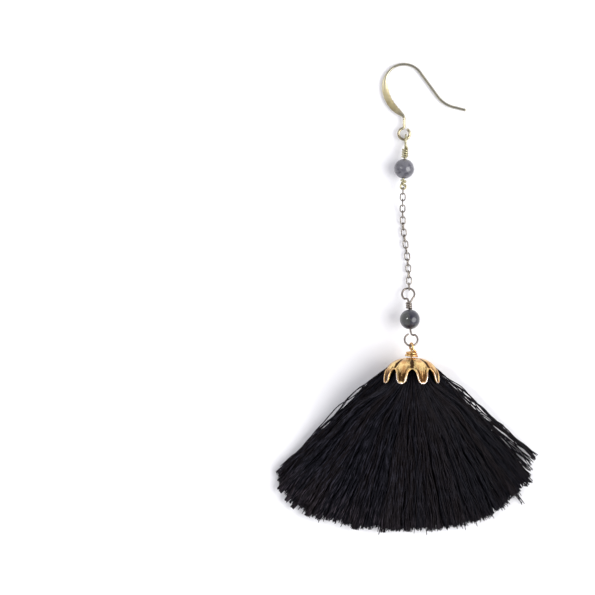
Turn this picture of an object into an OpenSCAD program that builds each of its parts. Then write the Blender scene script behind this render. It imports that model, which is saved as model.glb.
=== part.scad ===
// Tassel earring: an ear hook, a wired bead, a cable chain, a second wired bead,
// a petalled bead cap and a black thread tassel, lying on a flat surface.
// Millimetres. X runs across, Y from the tassel up to the hook, Z up from the surface.

/* [Ear hook] */
// Diameter of the hook's round wire
hook_wire = 0.7; // [0.6:0.05:0.9]
// Radius of the ring at the hook's foot, to the middle of the wire
hook_ring_r = 1.4; // [1.25:0.05:2]
// Length of the straight neck above the ring
hook_neck = 1.75; // [1:0.25:4]
// Angle that the wire leans forward above the neck
hook_lean = 50; // [35:1:60]
// Radius of the bend where the neck leans forward
hook_shoulder_r = 1.25; // [1:0.25:2]
// Length of the straight wire between the shoulder and the front
hook_throat = 1.55; // [1:0.05:3]
// Radius of the long front curve
hook_front_r = 9; // [7:0.5:12]
// Radius of the crown that hangs on the ear
hook_crown_r = 4.9; // [4:0.1:6.5]
// Angle that the wire turns over the crown
hook_crown_turn = 144; // [130:1:150]
// Length of the straight wire behind the ear
hook_back = 7.5; // [5:0.5:14]
// Radius of the bend that flicks the tail out
hook_tail_r = 7; // [5:0.5:9]
// Angle of that bend
hook_tail_turn = 40; // [25:1:50]
// Length of the straight tail
hook_tail = 3.3; // [2.5:0.1:6]
// Width of the hammered band down the front
band_w = 1.7; // [1.2:0.1:2]
// Thickness of the hammered band
band_t = 0.4; // [0.3:0.05:0.6]

/* [Wired beads] */
// Diameter of the wire through the beads
pin_wire = 0.5; // [0.4:0.05:0.6]
// Diameter of the bead below the hook
upper_bead_d = 5; // [4.5:0.25:7]
// Diameter of the bead above the tassel
lower_bead_d = 5; // [4.5:0.25:7]
// Diameter of the hole through each bead
bead_bore = 0.8; // [0.75:0.05:1]
// Radius of the loop that holds the hook, to the middle of the wire
hook_loop_r = 1.4; // [1.3:0.05:1.8]
// Turns of wire wrapped below that loop
hook_wraps = 4; // [2:0.5:5]
// Radius of the small loop that holds the top of the chain
chain_loop_r = 0.65; // [0.6:0.05:1]
// Turns of wire wrapped above that loop
chain_wraps = 1; // [1:0.5:3]
// Radius of the loop that holds the foot of the chain
foot_loop_r = 1.56; // [1.2:0.04:2]
// Turns of wire wrapped below that loop
foot_wraps = 3; // [1.5:0.5:4]
// Radius of the plain ring that holds the tassel
tassel_ring_r = 1.62; // [1.3:0.04:2]
// Bare wire between the lower bead and that ring
bare_stem = 0.8; // [0.6:0.1:3]

/* [Chain] */
// Number of links
link_count = 17; // [8:1:26]
// Outer length of a link
link_len = 2.2; // [2:0.05:2.8]
// Outer width of a link
link_w = 1.5; // [1.45:0.05:1.8]
// Diameter of a link's wire
link_wire = 0.3; // [0.25:0.01:0.34]

/* [Bead cap] */
// Number of petals
petal_count = 8; // [8:2:10]
// Radius of the cap at its mouth
cap_r = 7.05; // [6.5:0.05:9]
// Length of the cap from its top to the petal tips
cap_len = 6.45; // [5.5:0.05:8]
// Thickness of the cap's metal
cap_wall = 0.35; // [0.3:0.05:0.5]
// Height of the raised rim round each petal
rim_h = 0.16; // [0.1:0.02:0.3]
// Depth of the crease between two petals
crease = 0.3; // [0.1:0.05:0.5]
// Radius of the eye that holds the tassel on its ring
eye_r = 0.8; // [0.75:0.05:1]
// Turns of wire wrapped on top of the cap
cap_wraps = 2; // [1:0.5:3]
// Radius of the lowest of those turns
collar_r = 1.5; // [1.2:0.05:2]
// Length of the wire that goes down into the tassel's head
shank = 3.4; // [2.5:0.1:4]

/* [Tassel] */
// Length of the threads below the head
fringe_len = 40; // [30:1:50]
// Half of the angle over which the threads fan out
fringe_spread = 48; // [40:1:54]
// Thickness of one lock of threads where it lies flat
lock_t = 1.5; // [1.2:0.1:2.5]
// Space kept between the tassel's head and the cap
head_gap = 0.25; // [0.15:0.05:0.5]

/* [Hidden] */
// Space between turns of wire, and play between two wires that hook through each other
gap = 0.08;
play = 0.15;
// Lift that keeps round wire just off the surface
skin = 0.02;
wire_sides = 6;
hook_sides = 12;
lock_sides = 6;
turn_step = 16;
run_step = 0.95;

link_names = [for (i = [1 : link_count]) str("chain_link_", i < 10 ? "0" : "", i)];

gold = "#d9b266";
bronze = "#8a7350";
slate = "#6a6a78";
dark_slate = "#50515e";
brass = "#c89f58";
black = "#1c1a20";

// Vectors and small helpers
X = [1, 0, 0];
Z = [0, 0, 1];
function unit(v) = v / norm(v);
function across(v, t) = unit(v - t * (v * t));
function mix(a, b, k) = a + (b - a) * k;
function total(v, n) = n <= 0 ? 0 : v[n - 1] + total(v, n - 1);
function heading(yaw, pitch) = [sin(yaw) * cos(pitch), cos(yaw) * cos(pitch), sin(pitch)];

// A piece's frame is its side, its axis and its upper side. Roll turns it about its axis.
function frame(yaw, pitch, roll) =
    let (y = heading(yaw, pitch), x = [cos(yaw), -sin(yaw), 0], z = cross(x, y))
    [x * cos(roll) + z * sin(roll), y, z * cos(roll) - x * sin(roll)];
function world(p, at, f) = at + f[0] * p.x + f[1] * p.y + f[2] * p.z;
module stand(at, f)
    multmatrix([for (r = [0 : 2]) [f[0][r], f[1][r], f[2][r], at[r]]]) children();

// Rings of points carried along a path without twisting
function directions(p) = [for (i = [0 : len(p) - 2]) unit(p[i + 1] - p[i])];
function tangents(p) =
    let (d = directions(p), last = len(d) - 1)
    [for (i = [0 : len(p) - 1]) unit(d[max(i - 1, 0)] + d[min(i, last)])];
function carried(t, v) =
    [for (i = 0, n = across(v, t[0]); i < len(t);
          i = i + 1, n = i < len(t) ? across(n, t[i]) : n) n];
function ring_points(p, wide, thick, side, n) =
    let (t = tangents(p), s = carried(t, side))
    [for (i = [0 : len(p) - 1]) for (j = [0 : n - 1])
        let (a = (j + 0.5) * 360 / n)
        p[i] + s[i] * wide[i] * cos(a) + cross(t[i], s[i]) * thick[i] * sin(a)];
module skin_over(points, rings, n)
    polyhedron(points, concat(
        [[for (j = [0 : n - 1]) j]],
        [for (i = [0 : rings - 2]) for (j = [0 : n - 1]) for (half = [0, 1])
            let (a = i * n + j, b = i * n + (j + 1) % n)
            half == 0 ? [a, a + n, b + n] : [a, b + n, b]],
        [[for (j = [n - 1 : -1 : 0]) (rings - 1) * n + j]]));

// Round wire along a path. Its corners lie just outside the true circle.
corner_out = 1.04;
module wire(p, d, side)
    skin_over(ring_points(p, [for (q = p) d / 2 * corner_out], [for (q = p) d / 2 * corner_out],
                          side, wire_sides),
              len(p), wire_sides);

// A closed loop in the XY plane, round about the origin, that narrows to a neck below it.
// Its wire leaves the neck on the left, comes back on the right and is wrapped downwards.
neck_share = 1.28;
wrap_lead = 0.16;
wrap_from = -60;
wrap_steps = 10;
loop_steps = 18;
wrap_pitch = pin_wire + gap;
function neck(r) = r * neck_share + pin_wire / 6;
function neck_turn(r) = 90 + asin(r / neck(r));
function loop_arc(r, from, to) =
    [for (k = [0 : loop_steps]) let (a = mix(from, to, k / loop_steps)) [r * sin(a), r * cos(a), 0]];
function wraps(r, turns, top_r, foot_r) =
    let (n = ceil(turns * wrap_steps))
    [for (k = [0 : n])
        let (down = 1 - k / n, a = wrap_from - turns * 360 * down, w = mix(top_r, foot_r, down))
        [w * cos(a), -neck(r) - wrap_lead - turns * wrap_pitch * down, w * sin(a)]];
function wrapped_loop(r, turns, top_r, foot_r) =
    concat(wraps(r, turns, top_r, foot_r),
           loop_arc(r, neck_turn(r), -neck_turn(r)), [[0, -neck(r), 0]]);
// How far below the loop's centre its last turn of wire ends
function wrapped_drop(r, turns) = neck(r) + wrap_lead + turns * wrap_pitch + pin_wire / 2;
tight = pin_wire + gap / 2;
// Turns the path of a loop upside down, or moves it along the axis
function flipped(p) = [for (i = [len(p) - 1 : -1 : 0]) [-p[i].x, -p[i].y, p[i].z]];
function raised(p, h) = [for (q = p) q + [0, h, 0]];
function rolled(p, roll) = [for (q = p)
    [q.x * cos(roll) - q.z * sin(roll), q.y, q.x * sin(roll) + q.z * cos(roll)]];

// Half of the overlap between two loops that hook through each other
function hold(a, b) = (a + b) / 4 + play / 2;
pin_link = hold(pin_wire, link_wire);
pin_pin = hold(pin_wire, pin_wire);
link_link = (link_wire + link_wire) / 4 + gap / 2;

// Bead cap: a bell of petals whose top is at the origin and whose mouth faces down Y
cap_fullness = 2.5;
notch_at = 0.42;
petal_cols = 8;
// Shares: where the creases have faded in, and how deep the petals are dished
crease_in = 0.12;
dish_share = 0.6;
rim_sharpness = 6;
tip_sharpness = 30;
// Rows from the top to the tips: how far down, and the petal's share of its sector
petal_rows = [[0.004, 1], [0.05, 1], [0.12, 1], [0.22, 1], [0.32, 1], [notch_at, 1],
              [0.47, 0.76], [0.55, 0.62], [0.66, 0.55], [0.78, 0.49], [0.88, 0.42],
              [0.95, 0.33], [1, 0.18]];
notch_row = 5;
last_row = len(petal_rows) - 1;
sector = 360 / petal_count;
function cap_radius(s, r) = r * pow(1 - pow(1 - s, cap_fullness), 1 / cap_fullness);
function clamped(v) = min(1, max(0, v));
function rim_lift(s, t) =
    rim_h * max(pow(abs(t), rim_sharpness), pow(s, tip_sharpness)) * clamped(2 * s / notch_at - 1);
function hollow(s, t) =
    crease * clamped(s / crease_in) * (t * t * sqrt(1 - s) + dish_share * pow(s, 3) * (1 - t * t));
function cap_point(k, i, j, inner) =
    let (s = petal_rows[i][0], t = 2 * j / petal_cols - 1,
         a = sector * (k + 0.5 + t * petal_rows[i][1] / 2),
         w = inner ? cap_wall : 0,
         r = cap_radius(s, cap_r - w) - hollow(s, t) + (inner ? 0 : rim_lift(s, t)))
    [r * sin(a), -w - (cap_len - w) * s, r * cos(a)];
function cap_index(inner, k, i, j) =
    let (wrap = i <= notch_row && j == petal_cols, kk = wrap ? (k + 1) % petal_count : k)
    (((inner ? petal_count : 0) + kk) * (last_row + 1) + i) * (petal_cols + 1) + (wrap ? 0 : j);
cap_points = [for (inner = [false, true]) for (k = [0 : petal_count - 1])
    for (i = [0 : last_row]) for (j = [0 : petal_cols]) cap_point(k, i, j, inner)];
function quad(a, b, c, d) = [[a, b, c], [a, c, d]];
cap_faces = [for (k = [0 : petal_count - 1]) each concat(
    [for (i = [0 : last_row - 1]) for (j = [0 : petal_cols - 1]) each concat(
        quad(cap_index(false, k, i, j), cap_index(false, k, i, j + 1),
             cap_index(false, k, i + 1, j + 1), cap_index(false, k, i + 1, j)),
        quad(cap_index(true, k, i, j), cap_index(true, k, i + 1, j),
             cap_index(true, k, i + 1, j + 1), cap_index(true, k, i, j + 1)))],
    [for (i = [notch_row : last_row - 1]) each concat(
        quad(cap_index(false, k, i, 0), cap_index(false, k, i + 1, 0),
             cap_index(true, k, i + 1, 0), cap_index(true, k, i, 0)),
        quad(cap_index(false, k, i, petal_cols), cap_index(true, k, i, petal_cols),
             cap_index(true, k, i + 1, petal_cols), cap_index(false, k, i + 1, petal_cols)))],
    [for (j = [0 : petal_cols - 1]) each concat(
        quad(cap_index(false, k, last_row, j), cap_index(false, k, last_row, j + 1),
             cap_index(true, k, last_row, j + 1), cap_index(true, k, last_row, j)),
        quad(cap_index(false, k, 0, j), cap_index(true, k, 0, j),
             cap_index(true, k, 0, j + 1), cap_index(false, k, 0, j + 1)))])];

// The pieces stand in a row, each hooked into the last, from the cap up to the hook.
// The cap lies on its lowest petals, so that sets the height of its axis.
cap_z = skin - min([for (p = cap_points) p.z]);
cap_at = [0, 0, cap_z];
cap_frame = frame(0, 0, 0);

// Tassel wire: its eye stands across the cap's axis
eye_roll = 65;
eye_h = wrapped_drop(eye_r, cap_wraps) + gap;
collar_top_r = mix(tight, collar_r, 0.5);
tassel_joint = cap_at + [0, eye_h + eye_r - pin_pin, 0];

// Lower bead: it slopes from the tassel's eye down to the chain on the surface
chain_z = link_w / 2 + skin;
foot_lift = link_w * 0.4;
ring_h = lower_bead_d / 2 + bare_stem + neck(tassel_ring_r);
foot_h = lower_bead_d / 2 + gap + wrapped_drop(foot_loop_r, foot_wraps);
lower_len = ring_h + tassel_ring_r + foot_h + foot_loop_r - pin_pin - pin_link;
lower_yaw = -3;
lower_frame = frame(lower_yaw, -asin((tassel_joint.z - chain_z - foot_lift) / lower_len), 0);
lower_at = tassel_joint + lower_frame[1] * (ring_h + tassel_ring_r - pin_pin);
// The chain hangs a little to the right on its loop
foot_slide = 14;
foot_joint = lower_at + lower_frame[1] * foot_h
    + (lower_frame[0] * sin(foot_slide) + lower_frame[1] * cos(foot_slide)) * (foot_loop_r - pin_link);

// Upper bead: it rests on the surface, and so does the loop that holds the hook
hook_loop_h = upper_bead_d / 2 + gap + wrapped_drop(hook_loop_r, hook_wraps);
chain_loop_h = upper_bead_d / 2 + gap + wrapped_drop(chain_loop_r, chain_wraps);
upper_z = upper_bead_d / 2 + skin;
hook_loop_z = hook_loop_r + pin_wire / 2 * corner_out + skin;
upper_yaw = 3.2;
upper_pitch = asin((hook_loop_z - upper_z) / hook_loop_h);
upper_frame = frame(upper_yaw, upper_pitch, 0);
upper_reach = chain_loop_h + chain_loop_r - pin_link;
chain_rise = upper_z - upper_reach * sin(upper_pitch) - chain_z;

// Chain: hand chosen bends, as the share of the chain from its foot, the turn to the
// left in degrees and the twist in degrees
chain_bends = [[0, 0, 8], [0.15, 3, 14], [0.3, 6, 6], [0.44, 9.5, -8],
               [0.58, 6, -14], [0.75, 1, -4], [1, -2.5, 6]];
// The first links come down from the lower bead and the last climb to the upper one.
// Each number is one link's share of the way down, or of the climb.
fall = [0.5, 0.33, 0.17];
climb = [0.1, 0.17, 0.22, 0.22, 0.18, 0.11];
link_pitch = link_len - link_wire - 2 * link_link;
function bend(i, col) = lookup((i + 0.5) / link_count, [for (b = chain_bends) [b[0], b[col]]]);
function rise_of(i) =
    (i < len(fall) ? -foot_lift * fall[i] : 0)
    + (i < link_count - len(climb) ? 0 : chain_rise * climb[i - link_count + len(climb)]);
link_frames = [for (i = [0 : link_count - 1])
    frame(-bend(i, 1), asin(rise_of(i) / link_pitch), (i % 2 == 0 ? 90 : 0) + bend(i, 2))];
link_ends = [for (i = 0, at = foot_joint; i <= link_count;
    at = i < link_count ? at + link_frames[i][1] * link_pitch : at, i = i + 1) at];
upper_at = link_ends[link_count] + upper_frame[1] * upper_reach;

// Hook: its ring rests on the lower side of the upper loop, and its crown and tail
// lie on the surface
ring_slide = 58;
ring_lean = 15;
ring_in_loop = hook_loop_r - (pin_wire + hook_wire) / 2 - play;
ring_side = upper_at + upper_frame[1] * (hook_loop_h + ring_in_loop * cos(ring_slide))
    - Z * ring_in_loop * sin(ring_slide);
ring_centre = ring_side + hook_ring_r * [-sin(ring_lean), cos(ring_lean), 0];

// Hook's wire in its own plane. Rows: the angle turned to the left, then the radius,
// or the length where nothing is turned.
ring_open = 28;
ring_leave = 20;
hook_rows = [
    [ring_open + ring_leave - 360, hook_ring_r],
    [90 - ring_leave, hook_ring_r * sin(ring_leave) / (1 - sin(ring_leave))],
    [0, hook_neck],
    [hook_lean, hook_shoulder_r],
    [0, hook_throat],
    [-hook_lean, hook_front_r],
    [-hook_crown_turn, hook_crown_r],
    [0, hook_back],
    [hook_tail_turn, hook_tail_r]];
shoulder_row = 3;
crown_row = 6;
function row_len(row) = row[0] == 0 ? row[1] : abs(row[0]) * PI / 180 * row[1];
function row_steps(row) = ceil(max(abs(row[0]) / turn_step, row_len(row) / run_step));
function row_point(row, p, h, f) =
    row[0] == 0 ? p + row[1] * f * [cos(h), sin(h), 0]
                : p + sign(row[0]) * row[1] * [sin(h + row[0] * f) - sin(h),
                                               cos(h) - cos(h + row[0] * f), 0];
function traced(rows, p, h, i = 0) = i == len(rows) ? [] :
    concat([for (k = [1 : row_steps(rows[i])]) row_point(rows[i], p, h, k / row_steps(rows[i]))],
           traced(rows, row_point(rows[i], p, h, 1), h + rows[i][0], i + 1));
hook_start = hook_ring_r * [sin(ring_open), cos(ring_open), 0];
hook_path = concat([hook_start], traced(hook_rows, hook_start, -ring_open));
tail_heading = 90 - hook_crown_turn + hook_tail_turn;
tail_dir = [cos(tail_heading), sin(tail_heading), 0];
tail_start = hook_path[len(hook_path) - 1];
tail_tip = tail_start + tail_dir * hook_tail;

// Hammered band: share of its length, and how far the wire is flattened there
band_form = [[0, 0], [0.13, 0.7], [0.27, 1], [0.6, 0.95], [0.82, 0.5], [1, 0]];
band_reach = 35;
band_start = total([for (r = hook_rows) row_len(r)], shoulder_row)
    + row_len(hook_rows[shoulder_row]) / 2;
band_end = total([for (r = hook_rows) row_len(r)], crown_row)
    + hook_crown_r * band_reach * PI / 180;
hook_runs = [for (i = 0, run = 0; i < len(hook_path);
    i = i + 1, run = i < len(hook_path) ? run + norm(hook_path[i] - hook_path[i - 1]) : run) run];
function flatness(run) =
    lookup(clamped((run - band_start) / (band_end - band_start)), band_form);
hook_r = hook_wire / 2 / cos(180 / hook_sides);

// The plane through the ring's foot, the tail's tip and the point of the crown that
// lies furthest round from the ring, seen from that tip
ring_foot = hook_ring_r * [sin(ring_lean), -cos(ring_lean), 0];
function swing(p) = unit(ring_foot - tail_tip) * unit(p - tail_tip);
crown_touch =
    let (least = min([for (p = hook_path) swing(p)]))
    [for (p = hook_path) if (swing(p) == least) p][0];
rest_z = hook_r + skin;
// Slopes of the plane along the hook's own X and Y, from its three heights
function slopes(a, za, b, zb, c, zc) =
    let (u = b - a, v = c - a, det = u.x * v.y - u.y * v.x, du = zb - za, dv = zc - za)
    [(du * v.y - dv * u.y) / det, (u.x * dv - v.x * du) / det];
hook_slope = slopes(ring_foot, ring_side.z, crown_touch, rest_z, tail_tip, rest_z);
hook_x = unit([1, 0, hook_slope.x]);
hook_z = unit([-hook_slope.x, -hook_slope.y, 1]);
hook_frame = [hook_x, cross(hook_z, hook_x), hook_z];
hook_at = ring_side - (hook_frame[0] * ring_foot.x + hook_frame[1] * ring_foot.y);

// Tassel: gathered tufts in the cap, and locks of thread that fan out below it.
// Outline of the fan: place across it, and the share of the thread length reached there
fringe_reach = [[-1, 0.965], [-0.8, 1.02], [-0.62, 1.05], [-0.3, 0.995], [0, 0.978],
                [0.3, 0.985], [0.62, 0.985], [0.75, 1.02], [0.88, 0.95], [1, 0.9]];
// Layers of locks: how many, share of the spread, share of the head's width and height
// where they start, height where they lie in lock thicknesses, and share of the length
fringe_layers = [[15, 1, 0.25, -0.45, 0.52, 1], [14, 1.02, 0.6, 0, 1.2, 1],
                 [9, 0.7, 0.4, 0.45, 1.85, 0.97]];
tuft_count = 10;
// Balls of a tuft: share of the cap's length, and shares of the head's radius for how far
// out it lies and for its own radius
tuft_form = [[0.25, 0.18, 0.16], [0.62, 0.62, 0.3], [0.95, 0.5, 0.34]];
head_r = cap_r - cap_wall - crease - head_gap;
root_y = -0.72 * cap_len;
ragged = 0.015;
lock_overlap = 1.12;
// Rings of a lock: share of its length, of its full width, and of its full thickness
lock_form = [[0, 0.3, 1.1], [0.09, 0.36, 1.15], [0.3, 0.66, 1.1], [0.6, 0.9, 1], [0.9, 1, 1],
             [1, 0.45, 0.6]];
function ruffle(k) = sin(k * 137.5 + 40);
// How much of its first height a lock still has, by the share of its length
function held_up(f) = (1 + cos(180 * pow(f, 0.8))) / 2;
function lock_side(n, k) = (2 * k + 1) / n - 1;
function lock_width(layer) =
    fringe_len * fringe_spread * layer[1] * PI / 180 / layer[0] * lock_overlap;
function lock_points(layer, k) =
    let (n = layer[0], s = lock_side(n, k) * n / (n - 1), a = s * fringe_spread * layer[1] + ruffle(k),
         share = lookup(s * min(1, layer[1]), fringe_reach) + ragged * ruffle(k * 3),
         reach = fringe_len * layer[5] * share,
         root = [s * head_r * layer[2], root_y, cap_z + head_r * layer[3]],
         lie = lock_t * layer[4] + skin,
         out = [sin(a), -cos(a), 0], side = [cos(a), sin(a), 0],
         path = [for (f = lock_form)
             [root.x, root.y, 0] + out * reach * f[0] + Z * mix(lie, root.z, held_up(f[0]))],
         wide = [for (f = lock_form) lock_width(layer) * f[1]],
         thick = [for (f = lock_form) lock_t / 2 * f[2]])
    ring_points(path, wide, thick, side, lock_sides);
locks = [for (layer = fringe_layers) for (k = [0 : layer[0] - 1]) lock_points(layer, k)];

// The origin is under the middle of the whole earring
fringe_xs = [for (l = locks) for (p = l) p.x];
hook_ys = [for (p = hook_path) world(p, hook_at, hook_frame).y];
low_y = min([for (l = locks) for (p = l) p.y]);
high_y = max(hook_ys) + hook_r;
to_origin = -[(min(fringe_xs) + max(fringe_xs)) / 2, (low_y + high_y) / 2, 0];

// A solid bead with its hole along Y
module bead(d, at, f) stand(at, f) rotate([90, 0, 0]) difference() {
    sphere(d = d, $fn = 48);
    cylinder(d = bead_bore, h = d + 2 * gap, center = true, $fn = 24);
}

// Oval link in its own XY plane, with its length along Y
module link() {
    bend_r = (link_w - link_wire) / 2;
    side_len = link_len - link_w;
    for (end = [0, 180]) rotate([0, 0, end]) translate([0, side_len / 2, 0]) {
        rotate_extrude(angle = 180, $fn = 32) translate([bend_r, 0]) circle(d = link_wire, $fn = 16);
        translate([bend_r, 0, 0]) rotate([90, 0, 0]) cylinder(d = link_wire, h = side_len, $fn = 16);
    }
}

module ear_hook() color(gold) translate(to_origin) stand(hook_at, hook_frame) {
    skin_over(ring_points(hook_path,
                          [for (s = hook_runs) mix(hook_r, band_w / 2, flatness(s))],
                          [for (s = hook_runs) mix(hook_r, band_t / 2, flatness(s))],
                          [-cos(ring_open), -sin(ring_open), 0], hook_sides),
              len(hook_path), hook_sides);
    translate(tail_start - tail_dir * run_step / 2) rotate([0, 90, tail_heading])
        cylinder(d = hook_wire, h = hook_tail + run_step / 2, $fn = 32);
}

module upper_pin() color(bronze) translate(to_origin) {
    path = concat(
        raised(rolled(wrapped_loop(hook_loop_r, hook_wraps, tight, tight + gap), 90), hook_loop_h),
        raised(flipped(wrapped_loop(chain_loop_r, chain_wraps, tight, tight)), -chain_loop_h));
    wire([for (p = path) world(p, upper_at, upper_frame)], pin_wire, X);
}

module lower_pin() color(bronze) translate(to_origin) {
    ring = concat(loop_arc(tassel_ring_r, 165, -neck_turn(tassel_ring_r)), [[0, -neck(tassel_ring_r), 0]]);
    path = concat(raised(wrapped_loop(foot_loop_r, foot_wraps, tight, tight), foot_h),
                  raised(flipped(ring), -ring_h));
    wire([for (p = path) world(p, lower_at, lower_frame)], pin_wire, X);
}

module upper_bead() color(slate) translate(to_origin) bead(upper_bead_d, upper_at, upper_frame);

module lower_bead() color(dark_slate) translate(to_origin) bead(lower_bead_d, lower_at, lower_frame);

module chain_link(i) color(brass) translate(to_origin)
    stand((link_ends[i - 1] + link_ends[i]) / 2, link_frames[i - 1]) link();

module tassel_wire() color(brass) translate(to_origin) {
    path = concat(raised(rolled(wrapped_loop(eye_r, cap_wraps, collar_top_r, collar_r), eye_roll), eye_h),
                  [[0, -shank, 0]]);
    wire([for (p = path) world(p, cap_at, cap_frame)], pin_wire, X);
}

module bead_cap() color(gold) translate(to_origin) translate(cap_at) polyhedron(cap_points, cap_faces);

module tassel() color(black) translate(to_origin) {
    difference() {
        union() {
            translate(cap_at) for (k = [0 : tuft_count - 1]) hull() {
                a = 360 * k / tuft_count;
                for (f = tuft_form)
                    translate([head_r * f[1] * sin(a), -cap_len * f[0], head_r * f[1] * cos(a)])
                        sphere(r = head_r * f[2], $fn = 8);
            }
            for (l = locks) skin_over(l, len(lock_form), lock_sides);
        }
        translate(cap_at) rotate([90, 0, 0]) cylinder(d = pin_wire + 4 * gap, h = shank + play, $fn = 12);
    }
}

ear_hook();
upper_pin();
upper_bead();
for (i = [1 : link_count]) chain_link(i);
lower_pin();
lower_bead();
tassel_wire();
bead_cap();
tassel();
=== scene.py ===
"""Tassel earring: fine wires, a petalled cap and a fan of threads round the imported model.

Shapes are worked out in millimetres and degrees in the model's own frame, with X across,
Y from the tassel up to the hook and Z up from the surface. `piece` turns them into metres.
"""

import bmesh
import bpy
import numpy as np
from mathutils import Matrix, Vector


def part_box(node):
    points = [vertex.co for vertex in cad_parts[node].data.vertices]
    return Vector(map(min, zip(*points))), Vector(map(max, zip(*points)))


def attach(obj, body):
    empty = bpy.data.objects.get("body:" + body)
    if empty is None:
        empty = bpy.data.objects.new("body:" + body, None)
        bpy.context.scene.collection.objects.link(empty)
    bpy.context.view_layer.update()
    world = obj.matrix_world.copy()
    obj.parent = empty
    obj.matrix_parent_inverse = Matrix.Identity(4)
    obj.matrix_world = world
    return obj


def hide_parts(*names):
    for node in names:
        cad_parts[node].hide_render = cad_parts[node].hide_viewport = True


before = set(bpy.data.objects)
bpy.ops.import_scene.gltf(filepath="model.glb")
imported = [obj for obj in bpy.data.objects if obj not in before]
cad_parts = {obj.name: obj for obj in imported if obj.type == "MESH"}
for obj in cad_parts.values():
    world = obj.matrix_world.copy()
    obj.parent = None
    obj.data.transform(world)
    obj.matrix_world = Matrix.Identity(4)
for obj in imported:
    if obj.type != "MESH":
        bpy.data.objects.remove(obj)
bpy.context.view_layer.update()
MM = 0.001

# Sizes that the model's source gives. Space between turns of wire, play between two loops
# that hook through each other, and lift off the surface
GAP, PLAY, SKIN = 0.08, 0.15, 0.02
PIN_WIRE, HOOK_WIRE, LINK_WIRE = 0.5, 0.7, 0.3
BEAD_R = 2.5
# Turns of wire wrapped round a pin: their pitch, lead and first angle, and the radius of a
# tight turn's middle line
WRAP_PITCH = PIN_WIRE + GAP
WRAP_LEAD, WRAP_FROM = 0.16, -60
TIGHT = PIN_WIRE + GAP / 2
# Distance from a loop's centre to its neck, as a share of its radius, to which a sixth of
# the wire is added
NECK_SHARE = 1.28
# The source's wires have flat sides: how far out a pin's corners lie, as a share of its
# radius, and the number of the hook's sides
CORNER_OUT, HOOK_SIDES = 1.04, 12

# Upper pin: its hook loop and its chain loop, with the wraps below each, and how far it is
# turned on the surface
HOOK_LOOP_R, HOOK_WRAPS = 1.4, 4
CHAIN_LOOP_R, CHAIN_WRAPS = 0.65, 1
UPPER_YAW = 3.2

# Lower pin: the loop at the chain's foot and its wraps, the plain ring that holds the
# tassel, how far the pin is turned and how far its foot lies above the chain's middle
FOOT_LOOP_R, FOOT_WRAPS = 1.56, 3
TASSEL_RING_R, RING_CLOSES_AT, BARE_STEM = 1.62, 165, 0.8
LOWER_YAW = -3
LINK_WIDTH = 1.5
FOOT_LIFT = LINK_WIDTH * 0.4

# Tassel wire: its eye, the coil on the cap and the shank in the tassel's head
EYE_R, EYE_ROLL, CAP_WRAPS = 0.8, 65, 2
COLLAR_R, SHANK = 1.5, 3.4

# Bead cap: its bell, then the shares of the way down it where its face starts, its notches
# start and its creases are at their full depth, and then the relief of its petals
PETALS = 8
CAP_R, CAP_LEN, CAP_WALL = 7.05, 6.45, 0.35
CAP_FULLNESS = 2.5
CAP_TOP, NOTCH_AT, CREASE_IN = 0.004, 0.42, 0.12
RIM_H, CREASE, DISH_SHARE = 0.16, 0.3, 0.6


def centre_of(node):
    """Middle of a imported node's box, in millimetres."""
    low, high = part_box(node)
    return np.array(low + high) / 2 / MM


UPPER_AT = centre_of("upper_bead")
LOWER_AT = centre_of("lower_bead")
CAP_AT = centre_of("bead_cap")
CAP_AT[1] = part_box("bead_cap")[1].y / MM + CAP_TOP * CAP_LEN


def sin(a):
    """Sine of an angle in degrees."""
    return np.sin(np.radians(a))


def cos(a):
    """Cosine of an angle in degrees."""
    return np.cos(np.radians(a))


def mix(a, b, k):
    """a where k is 0, b where it is 1."""
    return a + (b - a) * k


def eased(k):
    """0 below 0, 1 above 1 and a smooth rise between them."""
    k = np.clip(k, 0, 1)
    return k * k * (3 - 2 * k)


def hump(x, middle, half_width):
    """A smooth bump of height 1 round its middle."""
    return np.exp(-(((x - middle) / half_width) ** 2))


def unit(v):
    """Vectors of length 1 in the same directions."""
    return v / np.linalg.norm(v, axis=-1, keepdims=True)


def turned(yaw, pitch):
    """Rows of a piece's frame: its side, its axis and its upper side."""
    axis = np.array([sin(yaw) * cos(pitch), cos(yaw) * cos(pitch), sin(pitch)])
    side = np.array([cos(yaw), -sin(yaw), 0])
    return np.array([side, axis, np.cross(side, axis)])


def lengths_along(paths):
    """Length from a path's start to each of its points."""
    steps = np.linalg.norm(np.diff(paths, axis=-2), axis=-1)
    return np.concatenate([np.zeros_like(steps[..., :1]), np.cumsum(steps, axis=-1)], axis=-1)


def smoothed(points, steps):
    """A curve through the points: between two of them, the cubic whose slope at each is
    half the way from the point before it to the point after it."""
    p = np.concatenate([points[:1], points, points[-1:]])
    a, b, c, d = (p[i:len(p) - 3 + i, None] for i in range(4))
    t = np.linspace(0, 1, steps, endpoint=False)[None, :, None]
    square, cube = 2 * a - 5 * b + 4 * c - d, 3 * (b - c) + d - a
    curve = b + (t * (c - a) + t**2 * square + t**3 * cube) / 2
    return np.concatenate([curve.reshape(-1, 3), points[-1:]])


def carried(paths, side):
    """Sides carried along paths of shape (paths, rings, 3) without twisting: each ring's
    side is the last ring's, less its part along the path's direction there."""
    along = unit(np.gradient(paths, axis=1))
    sides = np.empty_like(paths)
    last = np.broadcast_to(side, paths[:, 0].shape)
    for ring in range(paths.shape[1]):
        t = along[:, ring]
        last = unit(last - t * np.sum(last * t, axis=-1, keepdims=True))
        sides[:, ring] = last
    return sides, np.cross(along, sides), along


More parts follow.
